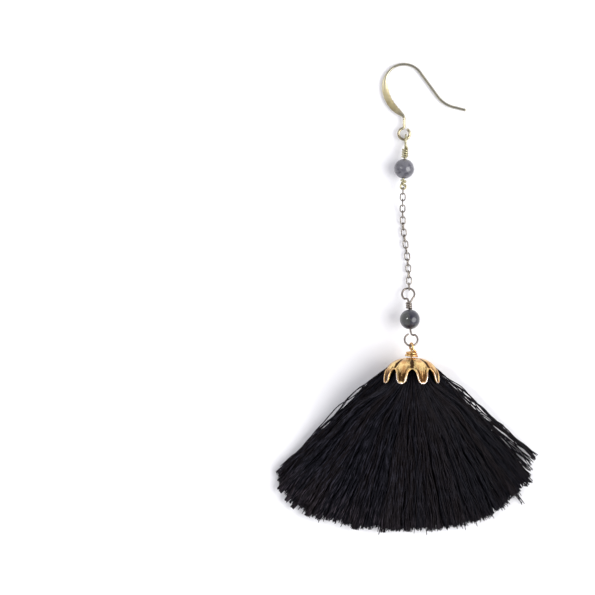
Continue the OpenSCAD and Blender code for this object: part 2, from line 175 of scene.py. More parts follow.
def tube_faces(rings, count):
    """Corners of one tube's faces: four to a face between its rings, and three to a face
    round its first and its last pole, which are its last two points."""
    i, j = np.meshgrid(np.arange(rings - 1), np.arange(count), indexing="ij")
    i, j, k = i.ravel(), j.ravel(), (j.ravel() + 1) % count
    between = [i * count + j, i * count + k, (i + 1) * count + k, (i + 1) * count + j]
    a = np.arange(count)
    b = (a + 1) % count
    pole = rings * count
    first = [b, a, np.full(count, pole)]
    final = [pole - count + a, pole - count + b, np.full(count, pole + 1)]
    return [np.stack(corners, axis=1) for corners in (between, first, final)]


def tube_map(paths, count):
    """Map of each corner of the tubes' four-sided faces. Its first number goes once round
    the wire, and its second is the length along it."""
    runs = lengths_along(paths)
    low, high = np.repeat(runs[:, :-1], count, axis=1), np.repeat(runs[:, 1:], count, axis=1)
    j = np.tile(np.arange(count), paths.shape[1] - 1)
    left, right = (np.broadcast_to(edge / count, low.shape) for edge in (j, j + 1))
    return np.stack([left, low, right, low, right, high, left, high], axis=-1).reshape(-1, 4, 2)


def tubes(paths, wide, thick, count, side):
    """Wires or threads along paths of shape (paths, rings, 3). A ring's points are the
    path's point plus side times width times cosine and upper times thickness times sine,
    and each end closes on a pole. Returns the points, the faces and the map."""
    total, rings, _ = paths.shape
    sides, uppers, along = carried(paths, side)
    turn = 2 * np.pi * np.arange(count) / count
    wide = np.broadcast_to(wide, (total, rings))[..., None, None]
    thick = np.broadcast_to(thick, (total, rings))[..., None, None]
    skin = (paths[:, :, None] + sides[:, :, None] * wide * np.cos(turn)[:, None]
            + uppers[:, :, None] * thick * np.sin(turn)[:, None])
    poles = np.stack([paths[:, 0] - along[:, 0] * thick[:, 0, 0] / 4,
                      paths[:, -1] + along[:, -1] * thick[:, -1, 0] / 4], axis=1)
    points = np.concatenate([skin.reshape(total, -1, 3), poles], axis=1)
    start = (np.arange(total) * points.shape[1])[:, None, None]
    faces = [(part + start).reshape(-1, part.shape[1]) for part in tube_faces(rings, count)]
    pole_map = np.zeros((total * count, 3, 2))
    return points.reshape(-1, 3), faces, [tube_map(paths, count), pole_map, pole_map]


def domed(path, radius):
    """Gives a wire's path the rings of a round end at both ends, within its own length.
    Returns the path and each ring's share of the full radius."""
    runs = lengths_along(path)
    dome = radius * (1 - cos(np.linspace(12, 90, 4)))
    clear = radius * 1.05
    keep = runs[(runs > clear) & (runs < runs[-1] - clear)]
    at = np.concatenate([dome, keep, runs[-1] - dome[::-1]])
    made = np.stack([np.interp(at, runs, path[:, c]) for c in range(3)], axis=1)
    near = np.minimum(np.minimum(at, runs[-1] - at) / radius, 1)
    return made, np.sqrt(1 - (1 - near) ** 2)


def piece(name, points, faces, maps, finish, stands_for, marks):
    """A smooth mesh from points in millimetres, rows of corners, the map of each corner
    and the marks of each point, which are numbers that its finish reads. It rides on the
    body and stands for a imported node."""
    mesh = bpy.data.meshes.new(name)
    corners = np.concatenate([f.ravel() for f in faces]).astype(np.int32)
    sizes = np.concatenate([np.full(len(f), f.shape[1]) for f in faces])
    mesh.vertices.add(len(points))
    mesh.vertices.foreach_set("co", (points * MM).astype(np.float32).ravel())
    mesh.loops.add(len(corners))
    mesh.loops.foreach_set("vertex_index", corners)
    mesh.polygons.add(len(sizes))
    mesh.polygons.foreach_set("loop_start", (np.cumsum(sizes) - sizes).astype(np.int32))
    mesh.update(calc_edges=True)
    mesh.polygons.foreach_set("use_smooth", np.ones(len(sizes), bool))
    if maps:
        layer = mesh.uv_layers.new(name="along")
        layer.data.foreach_set("uv", np.concatenate([m.ravel() for m in maps]).astype(np.float32))
    for mark, values in marks.items():
        layer = mesh.attributes.new(mark, "FLOAT", "POINT")
        layer.data.foreach_set("value", values.astype(np.float32).ravel())
    made = bpy.data.objects.new(name, mesh)
    bpy.context.scene.collection.objects.link(made)
    mesh.materials.append(finish)
    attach(made, "root")
    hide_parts(stands_for)
    return made


class Level:
    """A number or colour that varies over a surface, held as the socket that gives it."""

    def __init__(self, finish, socket):
        self.finish, self.socket = finish, socket

    def __add__(self, other):
        return self.finish.maths("ADD", self, other)

    def __sub__(self, other):
        return self.finish.maths("SUBTRACT", self, other)

    def __rsub__(self, other):
        return self.finish.maths("SUBTRACT", other, self)

    def __mul__(self, other):
        return self.finish.maths("MULTIPLY", self, other)


class Finish:
    """One material. `node` adds any node, and the rest are short names for a few of them."""

    def __init__(self, name):
        self.material = bpy.data.materials.new(name)
        self.material.use_nodes = True
        self.tree = self.material.node_tree
        self.tree.nodes.clear()
        self.place = self.node("TexCoord", {}, {}, "Object")

    def node(self, kind, settings, inputs, output=0):
        made = self.tree.nodes.new("ShaderNode" + kind)
        for key, value in settings.items():
            setattr(made, key, value)
        for key, value in inputs.items():
            if isinstance(value, Level):
                self.tree.links.new(value.socket, made.inputs[key])
            else:
                made.inputs[key].default_value = value
        return Level(self, made.outputs[output])

    def maths(self, operation, *values):
        return self.node("Math", {"operation": operation}, dict(enumerate(values)))

    def part(self, vector, axis):
        """One of a vector's three numbers."""
        return self.node("SeparateXYZ", {}, {"Vector": vector}, axis)

    def between(self, a, low, high):
        """0 where a is at low, 1 where it is at high, and smooth between."""
        return self.node("MapRange", {"interpolation_type": "SMOOTHSTEP"},
                         {"Value": a, "From Min": low, "From Max": high})

    def mottle(self, per_mm, detail=2.0, stretch=(1, 1, 1), warp=0.0):
        """Soft noise with so many patches to a millimetre, from 0 to 1."""
        scaled = self.node("Mapping", {}, {"Vector": self.place, "Scale": stretch})
        return self.node("TexNoise", {}, {"Vector": scaled, "Scale": per_mm / MM, "Detail": detail,
                                          "Distortion": warp})

    def mark(self, name):
        """The number that the piece's points carry under a name."""
        return self.node("Attribute", {"attribute_name": name}, {}, "Fac")

    def blend(self, factor, a, b):
        """From a to b, where each is a level or the red, green and blue of a colour."""
        a, b = (colour if isinstance(colour, Level) else (*colour, 1) for colour in (a, b))
        return self.node("Mix", {"data_type": "RGBA"}, {0: factor, 6: a, 7: b}, 2)

    def bump(self, height, strength, depth_mm):
        return self.node("Bump", {}, {"Height": height, "Strength": strength, "Distance": depth_mm * MM})

    def done(self, **shader):
        """Closes the material with its shader. Underscores in a socket's name are spaces."""
        inputs = {key.replace("_", " "): value for key, value in shader.items()}
        surface = self.node("BsdfPrincipled", {}, inputs)
        end = self.tree.nodes.new("ShaderNodeOutputMaterial")
        self.tree.links.new(surface.socket, end.inputs["Surface"])
        return self.material


# Finishes. Thread: the length of one twist of its plies, the lengths along it over which its
# painted glint lightens at the end, and across the fan where painted light starts and is full
PLY_TWIST = 0.8
END_GLINT_FROM_TO = (34, 47)
PAINTED_LIGHT_FROM, PAINTED_LIGHT_FULL_AT = 24, -24


def metal_finish(name, bright, worn, dark, rough, tarnish):
    """Plated wire: two tones of metal in soft patches, a darker tarnish over part of it,
    fine drawing scratches and small dents."""
    f = Finish(name)
    patches = f.between(f.mottle(1.3, 3.0), 0.38, 0.64)
    spots = f.between(f.mottle(2.6, 4.0, warp=0.6), 0.62 - tarnish, 0.78 - tarnish * 0.5)
    colour = f.blend(spots, f.blend(patches, bright, worn), dark)
    scratches = f.mottle(9.0, 2.0, (1, 0.2, 1))
    roughness = spots * 0.22 + patches * 0.06 + scratches * 0.08 + (rough - 0.04)
    dents = f.mottle(3.2)
    return f.done(Base_Color=colour, Metallic=1.0, Roughness=roughness,
                  Normal=f.bump(scratches * 0.35 + dents * 0.65, 0.25, 0.03))


def hook_finish():
    """Pale gold on the flattened band, with hammer marks, turning to olive down at the
    shoulder; the band's paler crown is partly a painted reflection. The ring is yellower and
    the rest of the wire is duller."""
    f = Finish("pale_hammered_gold")
    band, run = f.mark("band"), f.mark("run")
    patches = f.between(f.mottle(0.9, 3.0), 0.36, 0.66)
    ring = f.blend(patches, (0.46, 0.42, 0.28), (0.33, 0.28, 0.19))
    tail = f.blend(patches, (0.38, 0.365, 0.29), (0.46, 0.43, 0.32))
    # The band goes from an olive shoulder to a paler crown, whose pale gold is partly a painted
    # reflection.
    shoulder = f.blend(patches, (0.29, 0.24, 0.13), (0.38, 0.33, 0.19))
    crown = f.blend(patches, (0.72, 0.65, 0.41), (0.64, 0.56, 0.33))
    round_wire = f.blend(f.between(run, 0.18, 0.26), ring, tail)
    flat_wire = f.blend(f.between(run + f.mottle(0.5) * 0.06, 0.33, 0.47), shoulder, crown)
    hammered = f.node("TexVoronoi", {"feature": "SMOOTH_F1"},
                      {"Vector": f.place, "Scale": 0.75 / MM, "Smoothness": 0.9})
    scratches = f.mottle(8.0)
    return f.done(Base_Color=f.blend(band, round_wire, flat_wire), Metallic=1.0,
                  Roughness=scratches * 0.10 + band * 0.34 + 0.20,
                  Normal=f.bump(hammered * band + scratches * 0.12, 0.32, 0.10))


def cap_finish(name):
    """Antique gold: brown tarnish and painted shade low in the relief and in streaks down the
    petals, ridges and rims painted near white as a highlight, and a fine cast grain."""
    f = Finish(name)
    relief = f.mark("relief")
    patches = f.between(f.mottle(0.45, 3.0, warp=0.5), 0.40, 0.60)
    streaks = f.between(f.mottle(1.5, 3.0, (1, 0.3, 1)), 0.34, 0.66)
    grain = f.mottle(3.0, 4.0)
    gold = f.blend(patches, (0.84, 0.61, 0.265), (0.63, 0.345, 0.13))
    # Darker brown low in the relief, on the inner face and in streaks: partly tarnish, partly painted
    # shade in the creases and hollows.
    low = f.between(relief + grain * 0.40 - streaks * 0.20, 0.57, 0.19)
    # Ridges and rims: their near-white colour is a painted highlight.
    worn = f.between(relief + grain * 0.25, 0.86, 1.04)
    tarnish_and_painted_shade = f.blend(low, gold, (0.060, 0.027, 0.009))
    return f.done(Base_Color=f.blend(worn, tarnish_and_painted_shade, (1.0, 0.86, 0.76)), Metallic=1.0,
                  Roughness=low * 0.25 + grain * 0.16 - worn * 0.06 + 0.20,
                  Normal=f.bump(grain, 0.45, 0.06))


def bead_finish(name, light, deep, glint):
    """Polished stone: two greys in soft clouds with paler veins, under a clear polish. The
    veins lie where their noise is halfway, so they are strongest at 1/2 times 1/2."""
    f = Finish(name)
    clouds = f.between(f.mottle(0.30, 3.0, (1, 1.5, 1), 0.8), 0.38, 0.60)
    halfway = f.between(f.mottle(0.5, 3.0, warp=0.9), 0.36, 0.64)
    veins = halfway * (1 - halfway) * 1.1
    return f.done(Base_Color=f.blend(veins, f.blend(clouds, light, deep), glint),
                  Roughness=clouds * 0.12 + 0.26, Coat_Weight=clouds * 0.1 + 0.6,
                  Coat_Roughness=0.08, Specular_IOR_Level=0.35,
                  Normal=f.bump(f.mottle(1.6), 0.06, 0.05))


def thread_finish():
    """Black rayon thread: two plies wound round each other show as slanting ridges, and each
    thread has a painted glint in stretches. Threads differ a little from navy to brown, the
    glint is painted lighter and browner at their ends and stronger towards the fan's left."""
    f = Finish("black_rayon")
    along = f.node("UVMap", {"uv_map": "along"}, {})
    turn, length = f.part(along, "X"), f.part(along, "Y")
    tint = f.mark("tint")
    ply = f.maths("SINE", turn * (4 * np.pi) + length * (2 * np.pi / PLY_TWIST)) * 0.5 + 0.5
    # Painted glint: a noise along each thread picks the stretches that are painted lighter.
    own_place = f.node("CombineXYZ", {}, {"X": tint * 90, "Y": length * 0.32})
    shine = f.node("TexNoise", {}, {"Vector": own_place, "Scale": 1.0, "Detail": 2.0})
    stretch = f.between(shine, 0.46, 0.68)
    warm = f.between(tint + f.mottle(0.09) * 0.8, 0.72, 1.15)
    # Towards the threads' ends the painted glint grows lighter and browner.
    worn = f.between(length, *END_GLINT_FROM_TO)
    # Painted light: the glint is painted stronger towards the fan's left.
    painted_light_left = f.between(f.part(f.place, "X"), PAINTED_LIGHT_FROM * MM, PAINTED_LIGHT_FULL_AT * MM)
    colour = f.blend(warm, (0.0032, 0.0033, 0.0060), (0.0065, 0.0045, 0.0055))
    light = f.blend(worn, (0.023, 0.022, 0.031), (0.038, 0.029, 0.035))
    return f.done(Base_Color=f.blend(stretch * (painted_light_left + worn * 0.2 + 0.1), colour, light),
                  Roughness=ply * 0.08 - stretch * 0.08 + 0.50, Specular_IOR_Level=0.10,
                  Normal=f.bump(ply, 0.35, 0.05))


def surface_finish():
    """Plain matt white card with hardly any tooth."""
    f = Finish("white_card")
    colour = f.blend(f.mottle(0.6, 3.0), (0.90, 0.90, 0.905), (0.915, 0.915, 0.92))
    return f.done(Base_Color=colour, Roughness=0.9, Specular_IOR_Level=0.1)


# Loops of wire, in a pin's own frame, with the steps of a loop and of one turn of a wrap
LOOP_STEPS, WRAP_STEPS = 18, 12


def neck(r):
    """Distance from a loop's centre to its neck, where its two ends cross."""
    return r * NECK_SHARE + PIN_WIRE / 6


def neck_turn(r):
    """Angle from a loop's top at which its circle ends and its wire runs to the neck."""
    return 90 + np.degrees(np.arcsin(r / neck(r)))


def wrapped_drop(r, wraps):
    """How far below a loop's centre its last wrap ends."""
    return neck(r) + WRAP_LEAD + wraps * WRAP_PITCH + PIN_WIRE / 2


def hold(a, b):
    """Half of the overlap between two loops of wire that hook through each other."""
    return (a + b) / 4 + PLAY / 2


def loop_arc(r, start, end):
    """Round the loop: the point at an angle is its sine across and its cosine up."""
    a = np.linspace(start, end, LOOP_STEPS + 1)
    return np.stack([r * sin(a), r * cos(a), np.zeros_like(a)], axis=1)


def wrapped_loop(r, wraps, top_r, foot_r):
    """Wire wrapped down below a loop and then led round it: the wraps are a helix whose
    radius goes from foot_r to top_r, and the loop is a circle that narrows to its neck."""
    down = 1 - np.linspace(0, 1, int(np.ceil(wraps * WRAP_STEPS)) + 1)
    a, w = WRAP_FROM - wraps * 360 * down, mix(top_r, foot_r, down)
    coil = np.stack([w * cos(a), -neck(r) - WRAP_LEAD - wraps * WRAP_PITCH * down, w * sin(a)], axis=1)
    return np.concatenate([coil, loop_arc(r, neck_turn(r), -neck_turn(r)), [[0, -neck(r), 0]]])


def flipped(path):
    """Turned upside down, and led the other way."""
    return path[::-1] * [-1, -1, 1]


def rolled(path, roll):
    """Turned about the pin's own axis."""
    x, y, z = path.T
    return np.stack([x * cos(roll) - z * sin(roll), y, x * sin(roll) + z * cos(roll)], axis=1)


# Sides of a wire, and how high the cap's finish takes plain wire to be in its relief
# The gold coil's low relief mark paints it darker: partly tarnish, partly painted shade.
WIRE_SIDES, WIRE_RELIEF = 14, 0.40


def wire(name, path, finish, stands_for):
    """A piece of pin wire with round ends along a path."""
    path, share = domed(smoothed(path, 4), PIN_WIRE / 2)
    radius = PIN_WIRE / 2 * share
    points, faces, maps = tubes(path[None], radius, radius, WIRE_SIDES, np.array([1.0, 0, 0]))
    marks = {"relief": np.full(len(points), WIRE_RELIEF)}
    piece(name, points, faces, maps, finish, stands_for, marks)


UPPER_Z = BEAD_R + SKIN
HOOK_LOOP_H = BEAD_R + GAP + wrapped_drop(HOOK_LOOP_R, HOOK_WRAPS)
CHAIN_LOOP_H = BEAD_R + GAP + wrapped_drop(CHAIN_LOOP_R, CHAIN_WRAPS)
HOOK_LOOP_Z = HOOK_LOOP_R + PIN_WIRE / 2 * CORNER_OUT + SKIN
UPPER_AT[2] = UPPER_Z
UPPER = turned(UPPER_YAW, np.degrees(np.arcsin((HOOK_LOOP_Z - UPPER_Z) / HOOK_LOOP_H)))


def upper_pin(finish):
    """Wire through the upper bead: the hook's loop stands upright, the chain's lies flat."""
    top = rolled(wrapped_loop(HOOK_LOOP_R, HOOK_WRAPS, TIGHT, TIGHT + GAP), 90) + [0, HOOK_LOOP_H, 0]
    foot = flipped(wrapped_loop(CHAIN_LOOP_R, CHAIN_WRAPS, TIGHT, TIGHT)) - [0, CHAIN_LOOP_H, 0]
    path = UPPER_AT + np.concatenate([top, foot]) @ UPPER
    wire("upper_pin_wire", path, finish, "upper_pin")


def lower_pin(finish):
    """Wire through the lower bead: a wrapped loop above it and a plain ring below it. It
    slopes down from the tassel's eye to the chain."""
    ring_h = BEAD_R + BARE_STEM + neck(TASSEL_RING_R)
    foot_h = BEAD_R + GAP + wrapped_drop(FOOT_LOOP_R, FOOT_WRAPS)
    length = (ring_h + TASSEL_RING_R + foot_h + FOOT_LOOP_R
              - hold(PIN_WIRE, PIN_WIRE) - hold(PIN_WIRE, LINK_WIRE))
    chain_z = LINK_WIDTH / 2 + SKIN
    rows = turned(LOWER_YAW, -np.degrees(np.arcsin((CAP_AT[2] - chain_z - FOOT_LIFT) / length)))
    ring = np.concatenate([loop_arc(TASSEL_RING_R, RING_CLOSES_AT, -neck_turn(TASSEL_RING_R)),
                           [[0, -neck(TASSEL_RING_R), 0]]])
    top = wrapped_loop(FOOT_LOOP_R, FOOT_WRAPS, TIGHT, TIGHT) + [0, foot_h, 0]
    path = LOWER_AT + np.concatenate([top, flipped(ring) - [0, ring_h, 0]]) @ rows
    wire("lower_pin_wire", path, finish, "lower_pin")


def tassel_wire(finish):
    """Eye across the cap's axis, the coil that widens down to the cap, and the shank."""
    eye_h = wrapped_drop(EYE_R, CAP_WRAPS) + GAP
    eye = rolled(wrapped_loop(EYE_R, CAP_WRAPS, mix(TIGHT, COLLAR_R, 0.5), COLLAR_R), EYE_ROLL)
    path = CAP_AT + np.concatenate([eye + [0, eye_h, 0], [[0, -SHANK, 0]]])
    wire("cap_coil_wire", path, finish, "tassel_wire")


# Ear hook: its ring, with the angles at which it opens and leads into the wire, and the
# angles at which it rests in the upper pin's loop and leans over
RING_R, RING_OPEN, RING_LEAVE = 1.4, 28, 20
RING_SLIDE, RING_LEAN = 58, 15
# Rows of its outline: the angle turned to the left and the radius, or the length where
# nothing is turned
HOOK_ROWS = [
    (RING_OPEN + RING_LEAVE - 360, RING_R),
    (90 - RING_LEAVE, RING_R * sin(RING_LEAVE) / (1 - sin(RING_LEAVE))),
    (0, 1.75),
    (50, 1.25),
    (0, 1.55),
    (-50, 9),
    (-144, 4.9),
    (0, 7.5),
    (40, 7),
    (0, 3.3)]
SHOULDER_ROW, CROWN_ROW = 3, 6
# Hammered band: its width, its thickness and how far round the crown it reaches, then its
# form, as shares of the way along it and of its full width
BAND_W, BAND_T, BAND_REACH = 1.7, 0.4, 35
BAND_FORM = [(0, 0), (0.13, 0.7), (0.27, 1), (0.6, 0.95), (0.82, 0.5), (1, 0)]
# Dents left by the hammer, as waves along the wire: pace, depth and start
DENTS = [(4.1, 0.035, 0), (7.3, 0.03, 1)]
# Length of a step along the wire, facets round it and steps over which the band is blurred
HOOK_STEP, HOOK_FACETS, BAND_BLUR = 0.2, 20, 9


def row_length(row):
    """Length of wire in one row of the hook's outline."""
    turn, size = row
    return size if turn == 0 else abs(np.radians(turn)) * size


def traced(rows, at, facing, step):
    """Walks the rows from a point: along an arc, the point is the start plus the radius
    times the change in the heading's sine and cosine."""
    runs = [np.array([at])]
    for turn, size in rows:
        k = np.linspace(0, 1, int(np.ceil(row_length((turn, size)) / step)) + 1)[1:]
        start = runs[-1][-1]
        if turn == 0:
            run = start + size * k[:, None] * [cos(facing), sin(facing), 0]
        else:
            h = facing + turn * k
            run = start + np.sign(turn) * size * np.stack(
                [sin(h) - sin(facing), cos(facing) - cos(h), 0 * h], axis=1)
        runs.append(run)
        facing += turn
    return np.concatenate(runs)


def resting_plane(a, b, c):
    """Slopes along X and Y of the plane through three points whose z is their height."""
    return np.linalg.solve(np.array([b - a, c - a])[:, :2], [b[2] - a[2], c[2] - a[2]])


def hook_stance(path):
    """Rows of the hook's frame and the place of its origin: it lies on its crown and tail,
    with its ring against the upper pin's loop."""
    slack = HOOK_LOOP_R - (PIN_WIRE + HOOK_WIRE) / 2 - PLAY
    ring_side = (UPPER_AT + UPPER[1] * (HOOK_LOOP_H + slack * cos(RING_SLIDE))
                 - [0, 0, slack * sin(RING_SLIDE)])
    ring_foot = RING_R * np.array([sin(RING_LEAN), -cos(RING_LEAN), 0])
    tip = path[-1]
    crown = path[np.argmin(unit(path[:-1] - tip) @ unit(ring_foot - tip))]
    rest = [0, 0, HOOK_WIRE / 2 / cos(180 / HOOK_SIDES) + SKIN]
    dx, dy = resting_plane(ring_foot + [0, 0, ring_side[2]], crown + rest, tip + rest)
    side, upper = unit(np.array([1, 0, dx])), unit(np.array([-dx, -dy, 1]))
    rows = np.array([side, np.cross(upper, side), upper])
    return rows, ring_side - ring_foot @ rows


def flatness(runs):
    """How flat the hook's wire is hammered at lengths along it, from 0 to 1."""
    lengths = [row_length(row) for row in HOOK_ROWS]
    start = sum(lengths[:SHOULDER_ROW]) + lengths[SHOULDER_ROW] / 2
    end = sum(lengths[:CROWN_ROW]) + HOOK_ROWS[CROWN_ROW][1] * np.radians(BAND_REACH)
    flat = np.interp((runs - start) / (end - start), *zip(*BAND_FORM))
    flat = np.pad(flat, BAND_BLUR // 2, mode="edge")
    return np.convolve(flat, np.ones(BAND_BLUR) / BAND_BLUR, mode="valid")


def ear_hook(finish):
    """Ear wire with a ring at its foot and a hammered band up its front."""
    path = traced(HOOK_ROWS, RING_R * np.array([sin(RING_OPEN), cos(RING_OPEN), 0]), -RING_OPEN, HOOK_STEP)
    rows, at = hook_stance(path)
    path, share = domed(path, HOOK_WIRE / 2)
    runs = lengths_along(path)
    flat = flatness(runs)
    dents = 1 + flat * sum(depth * np.sin(runs * pace + start) for pace, depth, start in DENTS)
    wide = mix(HOOK_WIRE, BAND_W, flat) / 2 * share * dents
    thick = mix(HOOK_WIRE, BAND_T, flat) / 2 * share * dents
    first_side = np.array([-cos(RING_OPEN), -sin(RING_OPEN), 0])
    points, faces, maps = tubes(path[None], wide, thick, HOOK_FACETS, first_side)
    marks = {name: np.concatenate([np.repeat(mark, HOOK_FACETS), mark[[0, -1]]])
             for name, mark in (("band", flat), ("run", runs / runs[-1]))}
    piece("ear_hook_wire", at + points @ rows, faces, maps, finish, "ear_hook", marks)


def cap_radius(s, r):
    """Radius of the bell at a share s of the way down from its top."""
    return r * (1 - (1 - s) ** CAP_FULLNESS) ** (1 / CAP_FULLNESS)


# Petal: share of the way down, and its share of its sector there
PETAL_FORM = [(0, 1), (NOTCH_AT, 1), (0.445, 0.83), (0.47, 0.76), (0.51, 0.675), (0.55, 0.62),
              (0.66, 0.555), (0.78, 0.495), (0.86, 0.44), (0.91, 0.38), (0.95, 0.31), (0.98, 0.21),
              (1, 0.06)]
# Grid of a petal: rows above and below its notches, and columns
ROWS_ABOVE, ROWS_BELOW, CAP_COLS = 16, 30, 20
# Relief: the hollow of a petal, its veins and ribs, and the wall's share of the dish inside
BOWL, VEIN_H, RIB_H, RIBS, INNER_DISH = 0.225, 0.11, 0.03, 9, 0.9
# Mark that the finish reads, for a plain face and the inner face, and the height that adds 1
PLAIN_MARK, INNER_MARK, MARK_HEIGHT = 0.56, 0.2, 0.40
# Points of neighbouring petals that lie this close are merged
MERGE_WITHIN = 0.002


def cap_relief(s, t, half_width):
    """Height of the cap's outer face over its plain bell, in millimetres. s is the share of
    the way down, t the share across a petal and half_width its half width. A rim stands
    along the petal's free edge, three veins run down to its tip, fine ribs cross its top
    and creases part the petals."""
    free = eased(2 * s / NOTCH_AT - 1)
    joined = eased((NOTCH_AT - s) / 0.05)
    edge = np.minimum((1 - np.abs(t)) * half_width, (1 - s) * CAP_LEN * 0.9)
    rim = RIM_H * hump(edge, 0.16, 0.17) * free * mix(0.45, 1, eased((s - NOTCH_AT) / 0.3))
    shoulder = 0.7 * RIM_H * hump(np.abs(t), 0.80, 0.10) * free
    bowl = BOWL * eased(s / 0.5 - 0.4) * eased(edge / 0.55 - 0.35)
    outer_veins = 0.8 * hump(np.abs(t), 0.42 - 0.18 * s, 0.09)
    veins = VEIN_H * (hump(t, 0, 0.10) + outer_veins) * hump(s, 0.55, 0.34)
    ribs = RIB_H * np.cos(RIBS * t * np.pi) * hump(s, 0.3, 0.16)
    deepening = np.clip(s / CREASE_IN, 0, 1) * joined
    crease = CREASE * deepening * (0.5 * t**2 + 0.9 * hump(np.abs(t), 1, 0.16))
    return mix(rim, shoulder, joined) - bowl + veins - crease + ribs


def strip(p, q):
    """Faces between two neighbouring lines of corners."""
    return np.stack([p[..., :-1], p[..., 1:], q[..., 1:], q[..., :-1]], axis=-1).reshape(-1, 4)


def bead_cap(finish):
    """The bell of petals: each is a grid from the top down and from edge to edge, on an
    outer and an inner face, with walls along its free edges. The grids meet in the
    creases and are merged there."""
    above = np.linspace(CAP_TOP ** 0.5, NOTCH_AT ** 0.5, ROWS_ABOVE, endpoint=False) ** 2
    below = 1 - (1 - NOTCH_AT) * cos(np.linspace(0, 90, ROWS_BELOW)) ** 1.4
    s = np.concatenate([above, below])[:, None]
    t = np.linspace(-1, 1, CAP_COLS + 1)[None]
    share = np.interp(s, *zip(*PETAL_FORM))
    sector = 360 / PETALS
    relief = cap_relief(s, t, np.radians(share * sector / 2) * cap_radius(s, CAP_R))
    crease_in = np.clip(s / CREASE_IN, 0, 1)
    dish = CREASE * crease_in * (t * t * np.sqrt(1 - s) + DISH_SHARE * s**3 * (1 - t * t))
    a = sector * (np.arange(PETALS)[:, None, None] + 0.5 + t * share / 2)

    def face(r, y):
        x, z = r * sin(a), r * cos(a)
        return np.stack([x, np.broadcast_to(y, x.shape), z], axis=-1).reshape(-1, 3)

    outer = face(cap_radius(s, CAP_R) + relief, -CAP_LEN * s)
    inner = face(cap_radius(s, CAP_R - CAP_WALL) - dish * INNER_DISH, -CAP_WALL - (CAP_LEN - CAP_WALL) * s)
    points = CAP_AT + np.concatenate([outer, inner])
    points[:, 2] = np.maximum(points[:, 2], SKIN)
    top, under = np.arange(len(points)).reshape(2, PETALS, *relief.shape)
    faces = [strip(top[:, :-1], top[:, 1:]), strip(under[:, 1:], under[:, :-1]),
             strip(top[:, -1], under[:, -1]), strip(under[:, 0], top[:, 0]),
             strip(under[:, ROWS_ABOVE:, 0], top[:, ROWS_ABOVE:, 0]),
             strip(top[:, ROWS_ABOVE:, -1], under[:, ROWS_ABOVE:, -1])]
    height = np.broadcast_to(np.clip(PLAIN_MARK + relief / MARK_HEIGHT, 0, 1), top.shape)
    marks = {"relief": np.concatenate([height.ravel(), np.full(under.size, INNER_MARK)])}
    made = piece("petalled_cap", points, faces, [], finish, "bead_cap", marks)
    form = bmesh.new()
    form.from_mesh(made.data)
    bmesh.ops.remove_doubles(form, verts=form.verts, dist=MERGE_WITHIN * MM)
    bmesh.ops.recalc_face_normals(form, faces=form.faces)
    form.to_mesh(made.data)
    form.free()


# Threads: the fan's lines meet at a point on the cap's axis, above its top. The fan goes
# from one angle to another, and its top layer is parted near its middle
SEED = 11
THREAD_R = 0.135
FAN_APEX = 2.3
FAN_LEFT, FAN_RIGHT, FAN_PART = -46.5, 42.5, -2
# Head of the tassel, inside the cap: its radius, its top and where the threads come out
HEAD_GAP = 0.25
HEAD_R = CAP_R - CAP_WALL - CREASE - HEAD_GAP - THREAD_R
HEAD_TOP_Y, MOUTH_Y = -0.27 * CAP_LEN, -0.92 * CAP_LEN
# Pile: its height in the middle and at the sides, and the angles between which it thins
PILE_MID, PILE_SIDE, PILE_THINS = 3.35, 2.55, (26, 38)
# Where the threads end: angle from the cap's axis, and distance from the fan's point
FRINGE_ENDS = [(-50, 45.0), (-46.8, 46.6), (-42, 48.0), (-37.5, 49.2), (-31, 48.9), (-23, 47.5),
               (-12, 46.4), (0, 45.9), (12, 46.3), (23, 46.8), (30, 46.1), (35, 45.2), (38, 44.5),
               (42, 44.8), (46, 43.4), (52, 42.2)]
# Length and size of a thread's waves, from its slow bends down to its crimp, and the length
# over which they set in outside the cap
WAVES = [(24, 0.30), (10.5, 0.19), (5.5, 0.075)]
LOOSE_WAVES = [(26, 0.42), (11, 0.24), (5, 0.08)]
WAVES_SET_IN = 14
# Head's width at its top and height at its mouth, as shares of its full ones, and the share
# of a thread's length at which it has turned on to its straight line
HEAD_NARROWS, HEAD_FILLS, STRAIGHT_AT = 0.62, 0.97, 0.34
# How far threads leave their place across the head, as shares of half the fan's angle:
# usually and at most
STRAYS, STRAYS_MOST = 0.09, 0.15
# Locks: how many in a layer, how many degrees the pile's whole height counts as when threads
# are shared out, the share of its distance that a thread keeps and how far it lies aside
LOCKS, HEIGHT_COUNTS, KEEPS, ASIDE = 150, 6, 0.5, 0.5
# Share of locks that are tight, and how much of that spread their threads have
TIGHT_LOCKS, TIGHT_SPREAD = 0.16, 0.25
# Lengths, as shares of the way to the hem: what a lock adds, which is its usual difference,
# its least and its most, and then how far a tight lock stands out on the left and elsewhere
LOCK_VARIES, LOCK_LEAST, LOCK_MOST = 0.009, -0.035, 0.022
STANDS_OUT_LEFT, STANDS_OUT = 0.028, 0.014
# A full thread's length, how far the rest usually fall short, the share of threads that
# stray from their lock's length and by how much they do
FULL_LENGTH, FALLS_SHORT = 0.993, 0.010
STRAY_THREADS, STRAY_BY = 0.06, (-0.05, 0.03)
# Thickness of the thinnest and the thickest thread, and of a thread's end, as shares
THINNEST, THICKEST, END_SHARE = 0.88, 1.12, 0.7
# Layers of the fan: threads, part of the pile's height, angles, rings and facets of a thread
LAYERS = {"threads_under": (1000, (0, 0.45), (FAN_LEFT, FAN_RIGHT), 16, 3),
          "threads_middle": (800, (0.4, 0.75), (FAN_LEFT, FAN_RIGHT), 26, 3),
          "threads_left": (500, (0.7, 1), (FAN_LEFT, FAN_PART), 42, 4),
          "threads_right": (500, (0.7, 1), (FAN_PART, FAN_RIGHT), 42, 4)}
